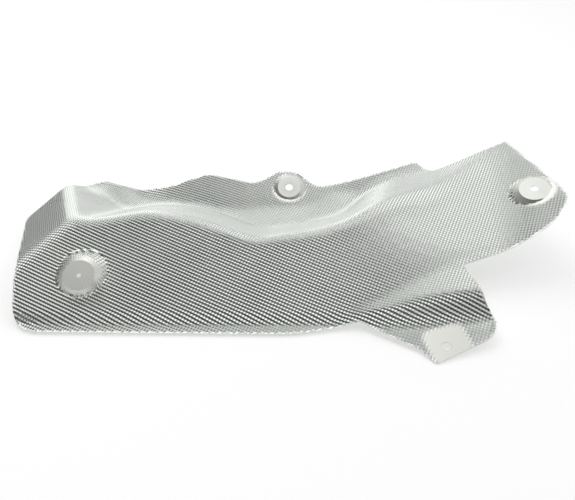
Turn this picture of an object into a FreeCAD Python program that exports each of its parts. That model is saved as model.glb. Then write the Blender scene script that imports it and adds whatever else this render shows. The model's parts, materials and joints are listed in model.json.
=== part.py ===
import FreeCAD, Part
import math
import os

from FreeCAD import Vector, Rotation, Placement

os.makedirs("parts", exist_ok=True)
doc = FreeCAD.newDocument("heat_shield")

# Driving dimensions, in millimetres and degrees
DIMENSIONS = {
    "sheet_thickness": 1.0,
    # press lines of the main wall, measured from the front lip
    "wall_slope": 24.0,
    "arm_slope": 12.0,
    "arm_start_depth": 67.0,
    "arm_start_x": 10.0,
    "arm_full_x": 190.0,
    "arm_round": 10.0,
    "lip_width": 12.0,
    "lip_slope": 8.0,
    "riser_slope": 45.0,
    "lip_round": 3.0,
    "lip_foot_round": 2.25,
    # slopes behind the crest
    "crest_round": 14.0,
    "shelf_slope": 26.0,
    "shelf_slope_arm": 15.0,
    "shelf_ease_start_x": 50.0,
    "shelf_ease_end_x": 170.0,
    "valley_round": 12.0,
    "flange_slope": 20.0,
    # left end: side wall and the ear behind it
    "corner_x": -222.0,
    "corner_y": 119.0,
    "side_slope": 28.8,
    "side_fall_back": 0.05,
    "side_round": 12.0,
    "ear_slope": 22.0,
    "ear_ridge_drift": 0.34,
    "ear_ridge_fall": 0.236,
    "ear_round": 8.0,
    # tip of the arm, turned up beyond a straight bend
    "tip_bend_x": 246.0,
    "tip_bend_height": 67.0,
    "tip_slope": 25.0,
    "tip_rise_back": 0.15,
    "tip_bend_y": 230.0,
    "tip_round": 12.0,
    # fixing tab in front of the arm
    "tab_start_x": 45.0,
    "tab_start_ease": 20.0,
    "tab_start_sink": 7.0,
    "tab_join_round": 4.0,
    "tab_shelf_slope": 2.0,
    "tab_front_slope": 40.0,
    "tab_round": 6.0,
    "tab_shelf_cap": 8.0,
    "tab_shelf_fall": 0.4,
    "tab_cap_round": 8.0,
    "pad_x": 144.0,
    "pad_y": -21.0,
    "pad_height": 2.4,
    "pad_slope": 11.0,
    "pad_cross_slope": 3.4,
    "pad_cap": 12.0,
    "pad_cap_round": 6.0,
    "pad_hole_diameter": 9.0,
    # pressed bosses: place of the flat top, tilt of its axis, sizes
    "left_boss_x": -202.0,
    "left_boss_y": 55.0,
    "left_boss_lift": 8.0,
    "left_boss_diameter": 31.0,
    "left_boss_tilt": 36.0,
    "left_hole_diameter": 4.5,
    "top_boss_x": 2.0,
    "top_boss_y": 246.0,
    "top_boss_lift": 5.0,
    "top_boss_diameter": 27.0,
    "top_boss_tilt": 32.0,
    "top_hole_diameter": 9.0,
    "right_boss_x": 263.0,
    "right_boss_y": 156.0,
    "right_boss_lift": 4.0,
    "right_boss_diameter": 32.0,
    "right_boss_tilt": 22.0,
    "right_boss_swing": -40.0,
    "right_hole_diameter": 8.0,
    "boss_draft": 48.0,
    "boss_reach": 14.0,
    "net_left_x": -330.0,
    "net_pitch_x": 9.0,
    "net_front_y": -60.0,
    "net_lip_y": -4.0,
    "net_rear_y": 28.5,
    "net_pitch_y": 8.0,
    "net_lip_pitch_y": 3.5,
}

# Reach of the cutting tools, well past the sheet on both sides
TRIM_BELOW = 100.0
TRIM_LENGTH = 260.0
DIE_DEPTH = 60.0
PUNCH_SHEETS = 8.0

# Guide lines in plan: how far back the line lies (or how high) at each place along the part
CREST_LINE = [(-320, 116), (-200, 119), (-145, 127), (-90, 118), (-33, 99), (0, 102), (33, 108),
              (64, 120), (105, 150), (159, 178), (258, 261), (330, 320)]
VALLEY_LINE = [(-330, 245), (-200, 245), (-145, 222), (-60, 205), (0, 205), (60, 215),
               (110, 232), (165, 262), (330, 330)]
VALLEY_HEIGHT = [(-330, 0), (-200, 0), (-145, 2), (-60, 2), (0, 1), (60, 3), (110, 14), (165, 32), (330, 60)]
TAB_LINE = [(40, 10), (57, 18), (90, 33), (120, 47), (150, 59), (175, 65), (230, 75)]
TAB_SHELF_WIDTH = [(40, 2), (57, 4), (90, 14), (120, 24), (150, 32), (175, 36), (230, 40)]

# Trim line: step right, step back from the corner before, and the corner's radius
START_CORNER = (-258.0, 2.0)
TRIM_STEPS = [
    ("lip_middle", 263.0, -3.5, 150.0),
    ("lip_notch", 63.0, 12.0, 12.0),
    ("tab_shoulder", 51.0, -34.0, 16.0),
    ("tab_toe", 13.0, -16.5, 5.0),
    ("tab_corner", 71.5, 33.5, 11.0),
    ("tab_waist", -17.0, 26.0, 20.0),
    ("arm_notch", -12.5, 48.5, 3.0),
    ("arm_belly", 41.0, 16.0, 60.0),
    ("arm_heel", 50.0, 16.0, 40.0),
    ("arm_tip", 28.0, 27.0, 15.0),
    ("arm_corner", -37.0, 129.0, 3.0),
    ("flange_gap", -84.0, -10.0, 6.0),
    ("flange_end", -13.0, 32.0, 8.0),
    ("flange_dip", -122.0, -27.0, 18.0),
    ("top_ear_right", -29.0, 22.5, 14.0),
    ("top_ear_left", -20.0, -1.0, 14.0),
    ("top_ear_dip", -26.0, -19.5, 24.0),
    ("flange_hump", -60.0, 18.0, 30.0),
    ("flange_fall", -46.0, -16.0, 60.0),
    ("ear_dip", -64.0, 4.0, 24.0),
    ("ear_top", -32.0, 19.0, 20.0),
    ("side_shoulder", -62.0, -84.0, 24.0),
    ("side_kink", 33.0, -122.0, 14.0),
    ("side_foot", 2.0, -22.0, 30.0),
]
START_RADIUS = 14.0

# The sheet of driving dimensions
sheet = doc.addObject("Spreadsheet::Sheet", "dims")
row = 1
for name, value in DIMENSIONS.items():
    sheet.set("A%d" % row, name)
    sheet.set("B%d" % row, str(value))
    sheet.setAlias("B%d" % row, name)
    row += 1
doc.recompute()


def dim(name):
    return float(sheet.get(name))


def tan_of(name):
    return math.tan(math.radians(dim(name)))


# Smooth helpers: rounded lower and upper of two slopes, eased step, and a curve through guide points
def lower(first, second, blend):
    share = min(max(0.5 + 0.5 * (second - first) / blend, 0.0), 1.0)
    return second * (1.0 - share) + first * share - 0.5 * blend * share * (1.0 - share)


def upper(first, second, blend):
    return -lower(-first, -second, blend)


def eased(start, end, place):
    share = min(max((place - start) / (end - start), 0.0), 1.0)
    return share * share * (3.0 - 2.0 * share)


def along(points, place):
    last = len(points) - 2
    index = 0
    while index < last and place > points[index + 1][0]:
        index += 1
    slopes = []
    for knot in (index, index + 1):
        before = points[max(knot - 1, 0)]
        after = points[min(knot + 1, len(points) - 1)]
        slopes.append((after[1] - before[1]) / (after[0] - before[0]))
    (x0, y0), (x1, y1) = points[index], points[index + 1]
    span = x1 - x0
    share = (place - x0) / span
    back = 1.0 - share
    return (y0 * (1.0 + 2.0 * share) * back ** 2 + y1 * share ** 2 * (3.0 - 2.0 * share)
            + span * share * back * (slopes[0] * back - slopes[1] * share))


# Height of the pressed sheet's outer face over the table
def wall_height(x, y):
    slope = tan_of("wall_slope")
    eased_out = eased(dim("arm_start_x"), dim("arm_full_x"), x)
    arm = slope + (tan_of("arm_slope") - slope) * eased_out
    start = dim("arm_start_depth")
    return lower(slope * y, slope * start + arm * (y - start), dim("arm_round"))


def lip_height(x, y):
    foot = tan_of("lip_slope") * dim("lip_width")
    riser = foot + tan_of("riser_slope") * (y - dim("lip_width"))
    face = lower(wall_height(x, y), riser, dim("lip_round"))
    return upper(face, tan_of("lip_slope") * y, dim("lip_foot_round"))


def rear_height(x, y):
    crest = along(CREST_LINE, x)
    easing = eased(dim("shelf_ease_start_x"), dim("shelf_ease_end_x"), x)
    fall = tan_of("shelf_slope") + (tan_of("shelf_slope_arm") - tan_of("shelf_slope")) * easing
    shelf = wall_height(x, crest) - fall * (y - crest)
    behind = y - dim("corner_y")
    ridge_x = dim("corner_x") - dim("ear_ridge_drift") * behind
    ridge_z = corner_height() - dim("ear_ridge_fall") * behind
    ear = ridge_z - tan_of("ear_slope") * (x - ridge_x)
    flange = along(VALLEY_HEIGHT, x) + tan_of("flange_slope") * (y - along(VALLEY_LINE, x))
    return upper(upper(shelf, ear, dim("ear_round")), flange, dim("valley_round"))


def corner_height():
    return tan_of("wall_slope") * dim("corner_y")


def tab_height(x, y):
    line = along(TAB_LINE, x)
    top = tan_of("wall_slope") * line
    edge = line - along(TAB_SHELF_WIDTH, x)
    cap = top + dim("tab_shelf_cap") - dim("tab_shelf_fall") * (y - line)
    shelf = lower(top + tan_of("tab_shelf_slope") * (y - line), cap, dim("tab_cap_round"))
    front = top - tan_of("tab_shelf_slope") * (line - edge) + tan_of("tab_front_slope") * (y - edge)
    pad = lower(pad_plane(x, y), dim("pad_cap"), dim("pad_cap_round"))
    return upper(lower(shelf, front, dim("tab_round")), pad, dim("tab_round"))


def pad_plane(x, y):
    along_tab = tan_of("pad_slope") * (y - dim("pad_y"))
    across_tab = tan_of("pad_cross_slope") * (x - dim("pad_x"))
    return dim("pad_height") + along_tab + across_tab


def skin_height(x, y):
    side = (corner_height() + tan_of("side_slope") * (x - dim("corner_x"))
            - dim("side_fall_back") * (y - dim("corner_y")))
    tip = (dim("tip_bend_height") + dim("tip_rise_back") * (y - dim("tip_bend_y"))
           + tan_of("tip_slope") * (x - dim("tip_bend_x")))
    height = lower(lip_height(x, y), rear_height(x, y), dim("crest_round"))
    height = upper(lower(height, side, dim("side_round")), tip, dim("tip_round"))
    start = dim("tab_start_x")
    ease = dim("tab_start_ease")
    sunk = dim("tab_start_sink") * (1.0 - eased(start - ease, start + ease, x))
    return upper(height, tab_height(x, y) - sunk, dim("tab_join_round"))


def skin_normal(x, y):
    reach = 0.5
    rise_x = (skin_height(x + reach, y) - skin_height(x - reach, y)) / (2.0 * reach)
    rise_y = (skin_height(x, y + reach) - skin_height(x, y - reach)) / (2.0 * reach)
    return Vector(-rise_x, -rise_y, 1.0).normalize()


# The pressed skin: a net of poles laid on the formula, closer together across the lip
def evenly(start, step, count):
    return [start + step * number for number in range(count)]


COLUMNS = evenly(dim("net_left_x"), dim("net_pitch_x"), 72)
FRONT_ROWS = evenly(dim("net_front_y"), dim("net_pitch_y"), 7)
LIP_ROWS = evenly(dim("net_lip_y"), dim("net_lip_pitch_y"), 8)
REAR_ROWS = evenly(dim("net_rear_y"), dim("net_pitch_y"), 35)
ROWS = FRONT_ROWS + LIP_ROWS + REAR_ROWS


def clamped_knots(count):
    return [float(number) for number in range(count - 2)], [4] + [1] * (count - 4) + [4]


def skin_surface(depth, drop):
    poles = []
    for x in COLUMNS:
        line = []
        for y in ROWS:
            line.append(Vector(x, y, skin_height(x, y) - drop) - skin_normal(x, y) * depth)
        poles.append(line)
    knots_along, mults_along = clamped_knots(len(COLUMNS))
    knots_across, mults_across = clamped_knots(len(ROWS))
    surface = Part.BSplineSurface()
    surface.buildFromPolesMultsKnots(poles, mults_along, mults_across, knots_along, knots_across,
                                     False, False, 3, 3)
    return surface


def closed_sheet(top, bottom):
    first_u, last_u, first_v, last_v = top.bounds()
    faces = [top.toShape(), bottom.toShape()]
    for place in (first_u, last_u):
        faces.append(Part.makeRuledSurface(top.uIso(place).toShape(), bottom.uIso(place).toShape()))
    for place in (first_v, last_v):
        faces.append(Part.makeRuledSurface(top.vIso(place).toShape(), bottom.vIso(place).toShape()))
    shell = Part.makeShell(faces)
    shell.sewShape()
    solid = Part.makeSolid(shell)
    if solid.Volume < 0.0:
        solid.reverse()
    return solid


outer_skin = skin_surface(0.0, 0.0)
inner_skin = skin_surface(dim("sheet_thickness"), 0.0)
pressed = doc.addObject("Part::Feature", "pressed_skin")
pressed.Shape = closed_sheet(outer_skin, inner_skin)
die = doc.addObject("Part::Feature", "lower_die")
die.Shape = closed_sheet(inner_skin, skin_surface(dim("sheet_thickness"), DIE_DEPTH))

# The trim line: straight runs with rounded corners, pressed down as a cutting tool
corners = [(Vector(START_CORNER[0], START_CORNER[1], 0.0), START_RADIUS)]
for label, step_x, step_y, radius in TRIM_STEPS:
    corners.append((corners[-1][0] + Vector(step_x, step_y, 0.0), radius))


def rounded_outline(points):
    edges = []
    joins = []
    count = len(points)
    for number in range(count):
        corner, radius = points[number]
        back = points[number - 1][0] - corner
        ahead = points[(number + 1) % count][0] - corner
        half = 0.5 * back.getAngle(ahead)
        room = 0.49 * min(back.Length, ahead.Length)
        cut = min(radius / math.tan(half), room)
        start = corner + back.normalize() * cut
        end = corner + ahead.normalize() * cut
        middle = (back + ahead).normalize()
        bulge = cut * math.tan(half) * (1.0 / math.sin(half) - 1.0)
        joins.append((start, corner + middle * bulge, end))
    for number in range(count):
        start, middle, end = joins[number]
        edges.append(Part.Arc(start, middle, end).toShape())
        edges.append(Part.makeLine(end, joins[(number + 1) % count][0]))
    return Part.Wire(edges)


trim_line = doc.addObject("Part::Feature", "trim_line")
trim_line.Shape = Part.Face(rounded_outline(corners))
trim_line.Placement = Placement(Vector(0.0, 0.0, -TRIM_BELOW), Rotation())
trim_tool = doc.addObject("Part::Extrusion", "trim_tool")
trim_tool.Base = trim_line
trim_tool.DirMode = "Custom"
trim_tool.Dir = Vector(0.0, 0.0, 1.0)
trim_tool.Solid = True
trim_tool.LengthFwd = TRIM_LENGTH
trimmed = doc.addObject("Part::Common", "trimmed_skin")
trimmed.Base = pressed
trimmed.Tool = trim_tool


# A pressed boss: a flat-topped cone raised out of the sheet, with a punched hole
def boss_frame(side):
    x = dim(side + "_boss_x")
    y = dim(side + "_boss_y")
    swing = dim("right_boss_swing") if side == "right" else 0.0
    turn = Rotation(Vector(0.0, 0.0, 1.0), swing).multiply(
        Rotation(Vector(1.0, 0.0, 0.0), dim(side + "_boss_tilt")))
    axis = turn.multVec(Vector(0.0, 0.0, 1.0))
    top = Vector(x, y, skin_height(x, y)) + axis * dim(side + "_boss_lift")
    return top, axis, turn


def cone(name, top, axis, turn, radius, height):
    feature = doc.addObject("Part::Cone", name)
    feature.setExpression("Height", height)
    feature.setExpression("Radius2", radius)
    feature.setExpression("Radius1", "(%s) + (%s) * tan(dims.boss_draft * 1 deg)" % (radius, height))
    feature.Placement = Placement(top - axis * feature_height(height), turn)
    return feature


def feature_height(text):
    return dim("boss_reach") - (dim("sheet_thickness") if "thickness" in text else 0.0)


opened = trimmed
hats = []
for side in ("left", "top", "right"):
    top, axis, turn = boss_frame(side)
    radius = "dims.%s_boss_diameter / 2" % side
    outer = cone(side + "_boss_outer", top, axis, turn, radius, "dims.boss_reach")
    drop = axis * dim("sheet_thickness")
    lean = "(%s - dims.sheet_thickness * tan((90 - dims.boss_draft) / 2 * 1 deg))" % radius
    inner = cone(side + "_boss_inner", top - drop, axis, turn, lean, "dims.boss_reach - dims.sheet_thickness")
    opening = doc.addObject("Part::Cut", side + "_boss_opening")
    opening.Base = opened
    opening.Tool = outer
    opened = opening
    hollow = doc.addObject("Part::Cut", side + "_boss_hollow")
    hollow.Base = outer
    hollow.Tool = inner
    hat = doc.addObject("Part::Cut", side + "_boss_hat")
    hat.Base = hollow
    hat.Tool = die
    hats.append(hat)
joined = doc.addObject("Part::MultiFuse", "joined_sheet")
joined.Shapes = [opened] + hats

# Punched holes through the bosses and the tab's pad
punched = joined
for side in ("left", "top", "right", "pad"):
    if side == "pad":
        place = Vector(dim("pad_x"), dim("pad_y"), skin_height(dim("pad_x"), dim("pad_y")))
        axis = skin_normal(dim("pad_x"), dim("pad_y"))
    else:
        place, axis, turn = boss_frame(side)
    punch = doc.addObject("Part::Cylinder", side + "_punch")
    punch.setExpression("Radius", "dims.%s_hole_diameter / 2" % side)
    punch.setExpression("Height", "dims.sheet_thickness * %g" % PUNCH_SHEETS)
    start = place - axis * dim("sheet_thickness") * PUNCH_SHEETS / 2.0
    punch.Placement = Placement(start, Rotation(Vector(0.0, 0.0, 1.0), axis))
    cut = doc.addObject("Part::Cut", side + "_hole")
    cut.Base = punched
    cut.Tool = punch
    punched = cut
doc.recompute()

# The finished sheet, standing on the table with its box centred over the origin
shield = doc.addObject("Part::Feature", "heat_shield")
shield.Label = "heat_shield"
shield.Shape = punched.Shape
box = shield.Shape.optimalBoundingBox(False, False)
shift = Vector(-box.Center.x, -box.Center.y, -box.ZMin)
shield.Placement = Placement(shift, Rotation())
doc.recompute()

for item in doc.Objects:
    if "Invalid" in item.State or "Error" in item.State:
        raise RuntimeError("%s did not build" % item.Label)
    if item.isDerivedFrom("Part::Feature"):
        if item.Shape.isNull() or not item.Shape.isValid():
            raise RuntimeError("%s has a broken shape" % item.Label)
if len(shield.Shape.Solids) != 1:
    raise RuntimeError("the sheet is not one solid")

shield.Shape.exportStep("parts/%s.step" % shield.Label)

# Where the fixings ended up, for the record's mounts
for side in ("left", "top", "right"):
    top, axis, turn = boss_frame(side)
    print(side, top + shift, axis)
pad_spot = Vector(dim("pad_x"), dim("pad_y"), skin_height(dim("pad_x"), dim("pad_y")))
print("pad", pad_spot + shift, skin_normal(dim("pad_x"), dim("pad_y")))
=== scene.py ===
import json
import math
from collections import namedtuple

import bmesh
import bpy
from mathutils import Matrix, Vector
from mathutils.bvhtree import BVHTree
from mathutils.geometry import delaunay_2d_cdt
from mathutils.kdtree import KDTree

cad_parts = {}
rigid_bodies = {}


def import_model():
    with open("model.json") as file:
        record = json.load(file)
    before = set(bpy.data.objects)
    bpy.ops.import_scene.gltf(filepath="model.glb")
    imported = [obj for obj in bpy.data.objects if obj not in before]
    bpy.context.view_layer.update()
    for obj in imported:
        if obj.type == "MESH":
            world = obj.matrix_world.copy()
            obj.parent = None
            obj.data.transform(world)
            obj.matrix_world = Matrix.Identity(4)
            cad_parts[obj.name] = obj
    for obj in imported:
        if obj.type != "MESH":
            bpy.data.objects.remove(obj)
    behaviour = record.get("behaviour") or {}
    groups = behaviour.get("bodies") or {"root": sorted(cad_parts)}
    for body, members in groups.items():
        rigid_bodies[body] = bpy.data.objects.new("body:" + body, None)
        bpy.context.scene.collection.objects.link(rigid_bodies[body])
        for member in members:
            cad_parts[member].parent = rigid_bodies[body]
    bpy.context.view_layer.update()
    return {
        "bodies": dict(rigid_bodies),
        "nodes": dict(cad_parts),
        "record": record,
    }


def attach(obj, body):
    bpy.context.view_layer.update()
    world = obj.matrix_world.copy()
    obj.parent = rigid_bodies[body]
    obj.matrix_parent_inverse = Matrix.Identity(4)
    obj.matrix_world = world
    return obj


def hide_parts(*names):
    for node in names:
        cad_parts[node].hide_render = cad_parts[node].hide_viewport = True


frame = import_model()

MM = 0.001
NODE = "heat_shield"
SLOT = "embossed_aluminium"

# Emboss rolled into the flat sheet: two wave directions in plan, in waves per mm, and heights in mm
ROW_WAVE = Vector((0.127, 0.285))
CROSS_WAVE = Vector((0.305, -0.131))
ROW_HEIGHT = 0.29
CROSS_HEIGHT = 0.24

# How far the emboss takes to die away beside a flattened place and at the trimmed rim, in mm
EMBOSS_FADE = 5.0
RIM_FADE = 2.2

# Spacing of the new mesh, in mm
RIM_STEP = 1.2
RIM_CLEARANCE = 0.8
RING_POINTS = 64
SKIRT_STEP = 1.6
SKIRT_RINGS = 2
SKIRT_FALL = 0.9
SKIRT_CLEARANCE = 0.6 * SKIRT_STEP

# How the faces of the sheet are told apart: upward share of the normal, and room round a hole in mm
WALL_LIMIT = 0.02
STEEP_LIMIT = 0.5
HOLE_PLAY = 0.05
HOLE_DEPTH = 3.0
FLAT_LIMIT = 0.95
SHARP_ANGLE = math.radians(30)

# Working limits of the mesh tools, and the choice of triangles within the outline
MERGE_GAP = 1e-6
PLAN_GAP = 1e-5
INSIDE_OUTLINE = 1
ABOVE_PART = 1.0

# Radius of the flat disc round the bore of each mounting boss, in mm
DISC_RADIUS = {"left_bore": 15.5, "top_bore": 13.5, "right_bore": 16.0}

# Flattened pad round the bore of the tab: size, corner radius, shift from the bore and turn, in mm
PAD_BORE = "tab_bore"
PAD_SIZE = (34.0, 31.0)
PAD_ROUND = 6.0
PAD_SHIFT = Vector((2.0, 3.5))
PAD_TURN = Matrix.Rotation(math.radians(-15.0), 2)

# Parts of the trim that hang softer than the die's outline: place in plan, reach and greatest move, in mm
TAB_CORNER = (Vector((207.9, -125.5)), 28.0, Vector((-5.8, 2.8, 0.0)))
ARM_TIP = (Vector((297.4, 8.0)), 30.0, Vector((-3.4, 0.0, 0.0)))
LIP_CORNER = (Vector((-253.6, -117.0)), 25.0, Vector((4.0, 4.0, 0.0)))
EAR_HUMP = (Vector((-205.0, 145.0)), 42.0, Vector((0.0, 7.0, 6.0)))
SOFT_CORNERS = (TAB_CORNER, ARM_TIP, LIP_CORNER, EAR_HUMP)

# Rolled aluminium: two greys that cloud the sheet, the painted shade in the pits of the emboss, and the
# flattened places
SHEET_DARK = (0.68, 0.705, 0.675, 1.0)
SHEET_PALE = (0.80, 0.825, 0.79, 1.0)
PIT_SHADE = (0.22, 0.23, 0.215, 1.0)
FLAT_CREAM = (0.80, 0.805, 0.76, 1.0)
SHEET_ROUGHNESS = (0.22, 0.38)
FLAT_ROUGHNESS = 0.42
CLOUD_SCALE = 22.0
CLOUD_DETAIL = 5.0
PIT_SHADE_GAIN = -0.5
PIT_SHADE_START = 0.1

# Studio room: grey levels from the camera's side to the back, the dim left side and the pale horizon
ROOM_LEVELS = ((0.0, 0.05), (0.13, 0.03), (0.25, 0.06), (0.30, 0.40), (0.34, 0.84), (0.42, 0.76),
               (0.75, 0.58), (0.90, 0.80), (1.0, 0.88))
ROOM_STRENGTH = 1.12
LEFT_RANGE = (-0.72, -0.36)
LEFT_LEVEL = 0.15
HORIZON_RANGE = (0.07, 0.17)
HORIZON_LEVEL = 0.85

# Floor and lamp, in metres and watts
FLOOR_SIZE = 6.0
FLOOR_DROP = -0.0002
FLOOR_COLOUR = (0.9, 0.9, 0.9, 1.0)
FLOOR_GLOW = 0.42
LAMP_PLACE = (-0.4, 0.7, 1.2)
LAMP_SIZE = 1.2
LAMP_POWER = 4.5

# Camera: angle down, place in metres, lens for its sensor in mm, and the picture
CAMERA_DOWN = 34.0
CAMERA_PLACE = (0.00436, -0.61610, 0.43125)
CAMERA_LENS = 43.83
CAMERA_SENSOR = 36.0
PICTURE = (1150, 1000)
SAMPLES = 160

Bore = namedtuple("Bore", "middle axis radius")
SheetPoint = namedtuple("SheetPoint", "spot home plain height")


def bore_of(mount):
    """A punched hole from the part's record: middle of its upper mouth, axis and radius, in mm."""
    axis = Vector(mount["axis"])
    middle = Vector(mount["pos_m"]) / MM + axis * mount["dims"]["length_mm"] / 2.0
    return Bore(middle, axis, mount["dims"]["r_mm"])


BORES = {mount["name"]: bore_of(mount) for mount in frame["record"]["mounts"]}
BOSSES = [(BORES[name], disc) for name, disc in DISC_RADIUS.items()]
PAD = BORES[PAD_BORE]


def eased(share):
    """Smooth step between 0 and 1."""
    share = max(0.0, min(1.0, share))
    return share * share * (3.0 - 2.0 * share)


def off_axis(point, bore):
    """Distance in mm of a point from a bore's axis."""
    arm = point - bore.middle
    return (arm - bore.axis * arm.dot(bore.axis)).length


def plain_share(point):
    """1 where the press has flattened the emboss, 0 on the open sheet."""
    along = PAD_TURN @ (point.xy - PAD.middle.xy - PAD_SHIFT)
    past = [abs(along[k]) - PAD_SIZE[k] / 2.0 + PAD_ROUND for k in range(2)]
    beside = Vector((max(past[0], 0.0), max(past[1], 0.0)))
    share = eased(1.0 - (beside.length - PAD_ROUND) / EMBOSS_FADE)
    for bore, disc in BOSSES:
        past = off_axis(point, bore) - disc - SKIRT_STEP * SKIRT_RINGS
        share = max(share, eased(1.0 - past / EMBOSS_FADE))
    return share


def over_hole(point):
    """True for a point in the mouth of a punched hole."""
    for bore in BORES.values():
        close = (point - bore.middle).length < bore.radius + HOLE_DEPTH
        if close and off_axis(point, bore) < bore.radius + HOLE_PLAY:
            return True
    return False


def on_boss(point):
    """True for a point on the disc or the skirt of a boss."""
    reach = SKIRT_STEP * SKIRT_RINGS + SKIRT_CLEARANCE
    return any(off_axis(point, bore) <= disc + reach for bore, disc in BOSSES)


def outer_faces(bm):
    """Faces of the sheet's upper side, without trim edges and hole walls."""
    low = {vert for face in bm.faces if face.normal.z < -STEEP_LIMIT for vert in face.verts}
    found = []
    for face in bm.faces:
        trim_edge = face.normal.z < STEEP_LIMIT and low.intersection(face.verts)
        hole_wall = over_hole(face.calc_center_median() / MM)
        if face.normal.z > WALL_LIMIT and not trim_edge and not hole_wall:
            found.append(face)
    return found


def cut_rim(bm):
    """Split the long edges round the upper side, so that the emboss can meet them."""
    outer = set(outer_faces(bm))
    groups = {}
    for edge in bm.edges:
        if len({face in outer for face in edge.link_faces}) == 2:
            cuts = int(edge.calc_length() / MM / RIM_STEP)
            if cuts:
                groups.setdefault(cuts, []).append(edge)
    for cuts, edges in groups.items():
        bmesh.ops.subdivide_edges(bm, edges=edges, cuts=cuts)
    bm.normal_update()


def soften(bm):
    """Ease the trim corners, more the nearer a point lies to one."""
    for vert in bm.verts:
        for corner, reach, move in SOFT_CORNERS:
            gap = (vert.co.xy / MM - corner).length
            vert.co += move * MM * eased(1.0 - gap / reach)
    bm.normal_update()


def skin_of(bm, faces):
    """Search tree over some faces."""
    bm.verts.index_update()
    places = [vert.co.copy() for vert in bm.verts]
    return BVHTree.FromPolygons(places, [[vert.index for vert in face.verts] for face in faces])


def drop(skin, spot):
    """Place and normal of the upper side under a point in plan, in mm."""
    above = Vector((spot.x * MM, spot.y * MM, ABOVE_PART))
    place, normal, _, _ = skin.ray_cast(above, Vector((0, 0, -1)))
    return (place / MM, normal) if place else (None, None)


def opened_sheet(bm):
    """Load the sheet without its upper side, and give back a search tree over that side."""
    under = bm.faces.layers.float.new("under")
    bm.from_mesh(frame["nodes"][NODE].data)
    bmesh.ops.remove_doubles(bm, verts=bm.verts, dist=MERGE_GAP)
    bm.normal_update()
    cut_rim(bm)
    soften(bm)
    outer = outer_faces(bm)
    skin = skin_of(bm, outer)
    bmesh.ops.delete(bm, geom=outer, context="FACES")
    for face in bm.faces:
        face.smooth = True
        face[under] = 1.0 if face.normal.z < -WALL_LIMIT else 0.0
    return skin


def plan_tree(spots):
    """Search tree over points in plan."""
    tree = KDTree(len(spots))
    for number, spot in enumerate(spots):
        tree.insert((spot.x, spot.y, 0.0), number)
    tree.balance()
    return tree


def sheet_point(skin, rim_tree, spot, height):
    """A new point of the upper side, or None past the sheet or close to its rim."""
    place, normal = drop(skin, spot)
    gap = rim_tree.find((spot.x, spot.y, 0.0))[2]
    if place is None or gap < RIM_CLEARANCE:
        return None
    plain = plain_share(place)
    height *= (1.0 - plain) * eased(gap / RIM_FADE)
    return SheetPoint(spot, place + normal * height, plain, height)


def rings(bore, disc):
    """Rings of points round a boss: the edge of its disc, then its skirt."""
    side = bore.axis.cross(Vector((1, 0, 0))).normalized()
    across = side.cross(bore.axis)
    for ring in range(SKIRT_RINGS + 1):
        radius = disc + ring * SKIRT_STEP
        middle = bore.middle - bore.axis * ring * SKIRT_STEP * SKIRT_FALL
        turns = [(k + 0.5 * (ring % 2)) * math.tau / RING_POINTS for k in range(RING_POINTS)]
        yield [middle + radius * (side * math.cos(turn) + across * math.sin(turn)) for turn in turns]


def boss_points(skin, rim_tree):
    """Points round the bosses, and the pairs of them that keep the edge of each disc."""
    points = []
    pairs = []
    for bore, disc in BOSSES:
        for ring, places in enumerate(rings(bore, disc)):
            made = []
            for place in places:
                point = sheet_point(skin, rim_tree, place.xy, 0.0)
                made.append(len(points) if point else None)
                points.extend([point] if point else [])
            if ring == 0:
                pairs.extend(pair for pair in zip(made, made[1:] + made[:1]) if None not in pair)
    return points, pairs


def lattice(low, high):
    """Crests, hollows and saddles of the emboss: a point in plan with its height, in mm."""
    turn = ROW_WAVE.x * CROSS_WAVE.y - ROW_WAVE.y * CROSS_WAVE.x
    reach = max(abs(low.x), abs(high.x)), max(abs(low.y), abs(high.y))
    rows = int(2 * (abs(ROW_WAVE.x) * reach[0] + abs(ROW_WAVE.y) * reach[1])) + 1
    crosses = int(2 * (abs(CROSS_WAVE.x) * reach[0] + abs(CROSS_WAVE.y) * reach[1])) + 1
    for i in range(-rows, rows + 1):
        for j in range(-crosses, crosses + 1):
            spot = Vector(((i * CROSS_WAVE.y - j * ROW_WAVE.y) / turn / 2.0,
                           (j * ROW_WAVE.x - i * CROSS_WAVE.x) / turn / 2.0))
            if low.x < spot.x < high.x and low.y < spot.y < high.y:
                yield spot, ROW_HEIGHT * (-1) ** i + CROSS_HEIGHT * (-1) ** j


def emboss_points(skin, rim_tree, rim_spots):
    """Points of the emboss on the open sheet."""
    low = Vector([min(spot[k] for spot in rim_spots) for k in range(2)])
    high = Vector([max(spot[k] for spot in rim_spots) for k in range(2)])
    points = []
    for spot, height in lattice(low, high):
        place, _ = drop(skin, spot)
        if place is not None and not on_boss(place):
            points.append(sheet_point(skin, rim_tree, spot, height))
    return [point for point in points if point]


def inside_rim(triangles, rim_lines, rim_count, sources):
    """The triangles reached from one on the open sheet without crossing a trimmed edge."""
    beside = {}
    for number, corners in enumerate(triangles):
        for k in range(3):
            beside.setdefault(frozenset((corners[k - 1], corners[k])), []).append(number)
    waiting = [next(number for number, corners in enumerate(triangles)
                    if all(sources[k] and min(sources[k]) >= rim_count for k in corners))]
    reached = set(waiting)
    while waiting:
        corners = triangles[waiting.pop()]
        for k in range(3):
            side = frozenset((corners[k - 1], corners[k]))
            fresh = [] if side in rim_lines else [n for n in beside[side] if n not in reached]
            reached.update(fresh)
            waiting.extend(fresh)
    return [triangles[number] for number in sorted(reached)]


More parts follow.
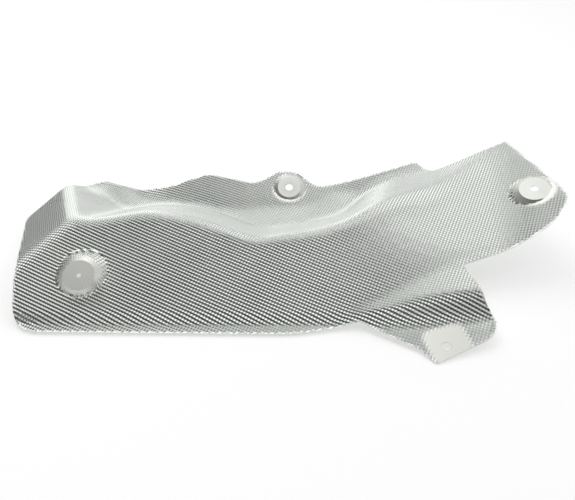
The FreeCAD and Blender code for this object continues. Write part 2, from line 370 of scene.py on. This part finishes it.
def mesh_upper_side(bm, skin):
    """Lay triangles over the opening, from the rim to the points of the bosses and the emboss."""
    plain = bm.verts.layers.float["plain"]
    relief = bm.verts.layers.float["relief"]
    rim_edges = [edge for edge in bm.edges if edge.is_boundary]
    rim_verts = list(dict.fromkeys(vert for edge in rim_edges for vert in edge.verts))
    rim_spots = [Vector((vert.co.x, vert.co.y)) / MM for vert in rim_verts]
    rim_count = len(rim_verts)
    rim_tree = plan_tree(rim_spots)

    points, pairs = boss_points(skin, rim_tree)
    points += emboss_points(skin, rim_tree, rim_spots)
    spots = rim_spots + [point.spot for point in points]
    number = {vert: k for k, vert in enumerate(rim_verts)}
    ties = [(number[edge.verts[0]], number[edge.verts[1]]) for edge in rim_edges]
    ties += [(rim_count + first, rim_count + second) for first, second in pairs]
    flat, lines, triangles, sources, line_sources, _ = delaunay_2d_cdt(
        spots, ties, [], INSIDE_OUTLINE, PLAN_GAP, True)
    rim_lines = {frozenset(line) for line, origins in zip(lines, line_sources)
                 if any(k < len(rim_edges) for k in origins)}

    placed = []
    for spot, source in zip(flat, sources):
        first = min(source, default=None)
        if first is not None and first < rim_count:
            placed.append(rim_verts[first])
            continue
        if first is None:
            nearest = rim_verts[rim_tree.find((spot.x, spot.y, 0.0))[1]]
            point = SheetPoint(spot, Vector((spot.x, spot.y, nearest.co.z / MM)), 0.0, 0.0)
        else:
            point = points[first - rim_count]
        vert = bm.verts.new(point.home * MM)
        vert[plain] = point.plain
        vert[relief] = point.height / (ROW_HEIGHT + CROSS_HEIGHT)
        placed.append(vert)
    for corners in inside_rim(triangles, rim_lines, rim_count, sources):
        verts = [placed[k] for k in corners]
        if bm.faces.get(verts) is None:
            face = bm.faces.new(verts)
            face.smooth = all(vert[plain] > FLAT_LIMIT for vert in verts)


def close_gaps(bm):
    """Clear loose points, fill what is left open along the rim and mark the sharp edges."""
    bmesh.ops.delete(bm, geom=[vert for vert in bm.verts if not vert.link_faces], context="VERTS")
    bmesh.ops.holes_fill(bm, edges=[edge for edge in bm.edges if edge.is_boundary], sides=0)
    bmesh.ops.triangulate(bm, faces=[face for face in bm.faces if len(face.verts) > 3])
    bm.normal_update()
    for edge in bm.edges:
        if edge.is_manifold and edge.calc_face_angle(0.0) > SHARP_ANGLE:
            edge.smooth = False


def embossed_sheet():
    """The sheet with its upper side meshed anew on the emboss."""
    bm = bmesh.new()
    bm.verts.layers.float.new("plain")
    bm.verts.layers.float.new("relief")
    skin = opened_sheet(bm)
    mesh_upper_side(bm, skin)
    close_gaps(bm)
    mesh = bpy.data.meshes.new("embossed_sheet")
    bm.to_mesh(mesh)
    bm.free()
    sheet = bpy.data.objects.new("embossed_sheet", mesh)
    bpy.context.scene.collection.objects.link(sheet)
    return sheet


def fed(tree, socket, value):
    """Set a socket to a number or colour, or link another node's output to it."""
    if isinstance(value, bpy.types.NodeSocket):
        tree.links.new(value, socket)
    else:
        socket.default_value = value


def mixed(tree, kind, share, first, second):
    """A mix of two values or colours, where each may be a number or another node's output."""
    mix = tree.nodes.new("ShaderNodeMix")
    mix.data_type = kind
    places = (2, 3) if kind == "FLOAT" else (6, 7)
    for place, value in zip((0,) + places, (share, first, second)):
        fed(tree, mix.inputs[place], value)
    return mix.outputs[0 if kind == "FLOAT" else 2]


def counted(tree, operation, *values):
    """A maths node on numbers or other nodes' outputs."""
    step = tree.nodes.new("ShaderNodeMath")
    step.operation = operation
    for socket, value in zip(step.inputs, values):
        fed(tree, socket, value)
    return step.outputs[0]


def smooth_range(tree, value, span, level):
    """A smooth rise from a level to 1 over a span of a value."""
    step = tree.nodes.new("ShaderNodeMapRange")
    step.interpolation_type = "SMOOTHSTEP"
    tree.links.new(value, step.inputs["Value"])
    step.inputs["From Min"].default_value = span[0]
    step.inputs["From Max"].default_value = span[1]
    step.inputs["To Min"].default_value = level
    step.inputs["To Max"].default_value = 1.0
    return step.outputs[0]


def attribute(tree, name):
    """A number kept on the mesh."""
    reader = tree.nodes.new("ShaderNodeAttribute")
    reader.attribute_name = name
    return reader.outputs["Fac"]


def wave(tree, coords, direction, height):
    """Cosine wave of the emboss over the plan, in metres."""
    dot = tree.nodes.new("ShaderNodeVectorMath")
    dot.operation = "DOT_PRODUCT"
    tree.links.new(coords, dot.inputs[0])
    dot.inputs[1].default_value = (direction.x * math.tau / MM, direction.y * math.tau / MM, 0.0)
    return counted(tree, "MULTIPLY", counted(tree, "COSINE", dot.outputs["Value"]), height * MM)


def aluminium():
    """Rolled aluminium: cloudy grey sheet with painted shade in the pits of the emboss, creamier where
    the press has flattened it.
    """
    material = bpy.data.materials.new(SLOT)
    material.use_nodes = True
    tree = material.node_tree
    shader = tree.nodes["Principled BSDF"]
    coords = tree.nodes.new("ShaderNodeTexCoord").outputs["Object"]
    noise = tree.nodes.new("ShaderNodeTexNoise")
    noise.inputs["Scale"].default_value = CLOUD_SCALE
    noise.inputs["Detail"].default_value = CLOUD_DETAIL
    tree.links.new(coords, noise.inputs["Vector"])
    cloud = noise.outputs["Fac"]
    plain = attribute(tree, "plain")
    sheet = mixed(tree, "RGBA", cloud, SHEET_DARK, SHEET_PALE)
    # Painted shade: the sheet's colour is darkened toward the pits of the emboss, by the relief kept on
    # the mesh
    pit_shade_share = counted(tree, "MULTIPLY_ADD", attribute(tree, "relief"), PIT_SHADE_GAIN, PIT_SHADE_START)
    shaded = mixed(tree, "RGBA", pit_shade_share, sheet, PIT_SHADE)
    rough = mixed(tree, "FLOAT", cloud, *SHEET_ROUGHNESS)
    fed(tree, shader.inputs["Base Color"], mixed(tree, "RGBA", plain, shaded, FLAT_CREAM))
    fed(tree, shader.inputs["Roughness"], mixed(tree, "FLOAT", plain, rough, FLAT_ROUGHNESS))
    shader.inputs["Metallic"].default_value = 1.0

    # The underside shows the same emboss from behind
    rows = wave(tree, coords, ROW_WAVE, ROW_HEIGHT)
    crosses = wave(tree, coords, CROSS_WAVE, CROSS_HEIGHT)
    bump = tree.nodes.new("ShaderNodeBump")
    bump.invert = True
    bump.inputs["Distance"].default_value = 1.0
    fed(tree, bump.inputs["Height"], counted(tree, "ADD", rows, crosses))
    fed(tree, bump.inputs["Strength"], attribute(tree, "under"))
    fed(tree, shader.inputs["Normal"], bump.outputs["Normal"])
    return material


def seen_rays(tree):
    """1 for rays that show the surface itself: seen straight, in a mirror or through glass."""
    rays = tree.nodes.new("ShaderNodeLightPath")
    first = counted(tree, "MAXIMUM", rays.outputs["Is Camera Ray"], rays.outputs["Is Glossy Ray"])
    return counted(tree, "MAXIMUM", first, rays.outputs["Is Transmission Ray"])


def floor():
    """Pale studio floor that keeps the shadow."""
    bm = bmesh.new()
    bmesh.ops.create_grid(bm, x_segments=1, y_segments=1, size=FLOOR_SIZE)
    bmesh.ops.translate(bm, verts=bm.verts, vec=(0.0, 0.0, FLOOR_DROP))
    mesh = bpy.data.meshes.new("floor")
    bm.to_mesh(mesh)
    bm.free()
    material = bpy.data.materials.new("floor")
    material.use_nodes = True
    tree = material.node_tree
    shader = tree.nodes["Principled BSDF"]
    shader.inputs["Base Color"].default_value = FLOOR_COLOUR
    shader.inputs["Roughness"].default_value = 1.0
    shader.inputs["Specular IOR Level"].default_value = 0.0
    shader.inputs["Emission Color"].default_value = (1.0, 1.0, 1.0, 1.0)
    fed(tree, shader.inputs["Emission Strength"], counted(tree, "MULTIPLY", seen_rays(tree), FLOOR_GLOW))
    mesh.materials.append(material)
    ground = bpy.data.objects.new("floor", mesh)
    bpy.context.scene.collection.objects.link(ground)
    return ground


def room():
    """Studio room: dim on the camera's side and the left, bright overhead and at the back."""
    world = bpy.data.worlds.new("studio")
    world.use_nodes = True
    tree = world.node_tree
    split = tree.nodes.new("ShaderNodeSeparateXYZ")
    fed(tree, split.inputs[0], tree.nodes.new("ShaderNodeTexCoord").outputs["Generated"])
    ramp = tree.nodes.new("ShaderNodeValToRGB")
    greys = ramp.color_ramp.elements
    for position, _ in ROOM_LEVELS[1:-1]:
        greys.new(position)
    for grey, (_, level) in zip(greys, ROOM_LEVELS):
        grey.color = (level, level, level, 1.0)
    fed(tree, ramp.inputs[0], counted(tree, "MULTIPLY_ADD", split.outputs["Y"], 0.5, 0.5))
    left = smooth_range(tree, split.outputs["X"], LEFT_RANGE, LEFT_LEVEL)
    upper = smooth_range(tree, split.outputs["Z"], HORIZON_RANGE, 0.0)
    walls = counted(tree, "MULTIPLY", ramp.outputs[0], left)
    background = tree.nodes["Background"]
    background.inputs["Strength"].default_value = ROOM_STRENGTH
    fed(tree, background.inputs["Color"], mixed(tree, "FLOAT", upper, HORIZON_LEVEL, walls))
    return world


def lamp(name, place, size, power):
    """Soft square lamp that points at the part."""
    light = bpy.data.lights.new(name, "AREA")
    light.size = size
    light.energy = power
    holder = bpy.data.objects.new(name, light)
    holder.location = place
    holder.rotation_euler = (-Vector(place)).to_track_quat("-Z", "Y").to_euler()
    bpy.context.scene.collection.objects.link(holder)


def camera():
    """Camera at the photograph's angle."""
    lens = bpy.data.cameras.new("camera")
    lens.sensor_width = CAMERA_SENSOR
    lens.lens = CAMERA_LENS
    eye = bpy.data.objects.new("camera", lens)
    eye.location = CAMERA_PLACE
    eye.rotation_euler = (math.radians(90.0 - CAMERA_DOWN), 0.0, 0.0)
    bpy.context.scene.collection.objects.link(eye)
    return eye


shield = embossed_sheet()
shield.data.materials.append(aluminium())
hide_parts(NODE)
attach(shield, next(iter(frame["bodies"])))

floor()
lamp("back_lamp", LAMP_PLACE, LAMP_SIZE, LAMP_POWER)

scene = bpy.context.scene
scene.world = room()
scene.camera = camera()
scene.render.engine = "CYCLES"
scene.cycles.samples = SAMPLES
scene.cycles.use_denoising = True
scene.render.resolution_x, scene.render.resolution_y = PICTURE
scene.view_settings.view_transform = "Standard"
